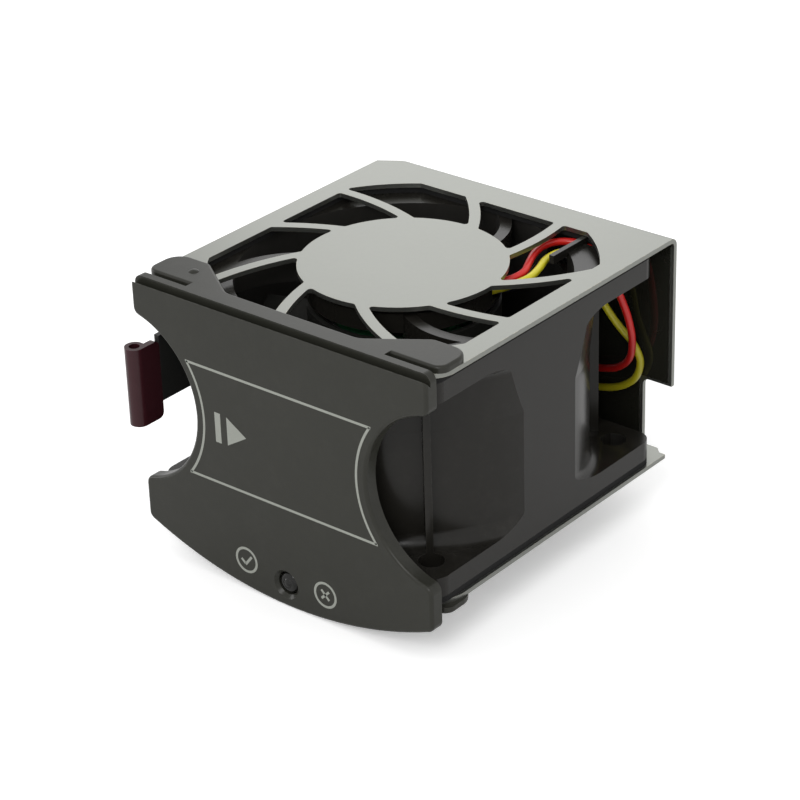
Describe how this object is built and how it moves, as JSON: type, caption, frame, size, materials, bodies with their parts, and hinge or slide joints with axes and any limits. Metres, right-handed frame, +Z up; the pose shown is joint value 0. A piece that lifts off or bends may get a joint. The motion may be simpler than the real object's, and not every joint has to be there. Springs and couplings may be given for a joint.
{
  "type": "server fan module",
  "caption": "Hot-swap server fan module: a black axial fan in a folded steel cage with a pinwheel finger guard, dark front bezel, side latch and rear connector.",
  "frame": {"origin": "Where the fan's axis meets the underside of the cage's bottom plate", "axes": "+X right as seen from the front, +Y from the bezel to the rear connector, +Z up along the fan's axis"},
  "size_m": [0.0664, 0.0735, 0.0522],
  "materials": {
    "sheet_steel": "satin clear-coated steel sheet",
    "foam": "closed-cell foam",
    "black_plastic": "smooth moulded plastic",
    "bezel_plastic": "finely grained moulded plastic",
    "clear_plastic": "clear moulded light pipe",
    "black_film": "smooth sheet",
    "black_nylon": "moulded nylon",
    "tinned_metal": "tin plate",
    "rivet_metal": "plain",
    "red_sleeve": "extruded insulation",
    "yellow_sleeve": "extruded insulation",
    "black_sleeve": "extruded insulation",
    "brass": "turned",
    "bright_steel": "ground",
    "lamination_steel": "stacked laminations",
    "white_nylon": "moulded nylon",
    "copper": "enamelled winding",
    "circuit_board": "solder mask",
    "plated_steel": "zinc plate",
    "magnet": "bonded ferrite",
    "spring_steel": "plain",
    "burgundy_plastic": "moulded plastic"
  },
  "bodies": {
    "root": {"cage": "sheet_steel", "gasket_top": "foam", "gasket_bottom": "foam", "fan_frame": "black_plastic", "bezel": "bezel_plastic", "led_light_pipe": "clear_plastic", "insulating_film": "black_film", "connector_housing": "black_nylon", "connector_contacts": "tinned_metal", "connector_rivets": "rivet_metal", "wire_red": "red_sleeve", "wire_yellow": "yellow_sleeve", "wire_black": "black_sleeve", "bearing_tube": "brass", "bearing_lower": "bright_steel", "bearing_upper": "bright_steel", "stator_core": "lamination_steel", "stator_insulators": "white_nylon", "stator_coils": "copper", "circuit_board": "circuit_board", "preload_spring": "spring_steel", "latch_bracket": "plated_steel", "latch_pin": "bright_steel", "latch_screws": "bright_steel"},
    "rotor": {"impeller": "black_plastic", "rotor_yoke": "plated_steel", "rotor_magnet": "magnet", "shaft": "bright_steel", "retaining_clip": "spring_steel"},
    "latch": {"latch_arm": "black_nylon", "latch_grip": "burgundy_plastic", "latch_spring": "spring_steel"}
  },
  "joints": [
    {"name": "rotor_spin", "type": "hinge", "parent": "root", "child": "rotor", "pos_m": [0, 0, 0.02], "axis": [0, 0, 1], "continuous": true},
    {"name": "latch_release", "type": "hinge", "parent": "root", "child": "latch", "pos_m": [-0.0329, 0, 0.0235], "axis": [0, 0, 1], "range_deg": [0, 4.5], "stiffness_Nm_per_rad": 0.8, "springref_deg": -2.86}
  ]
}
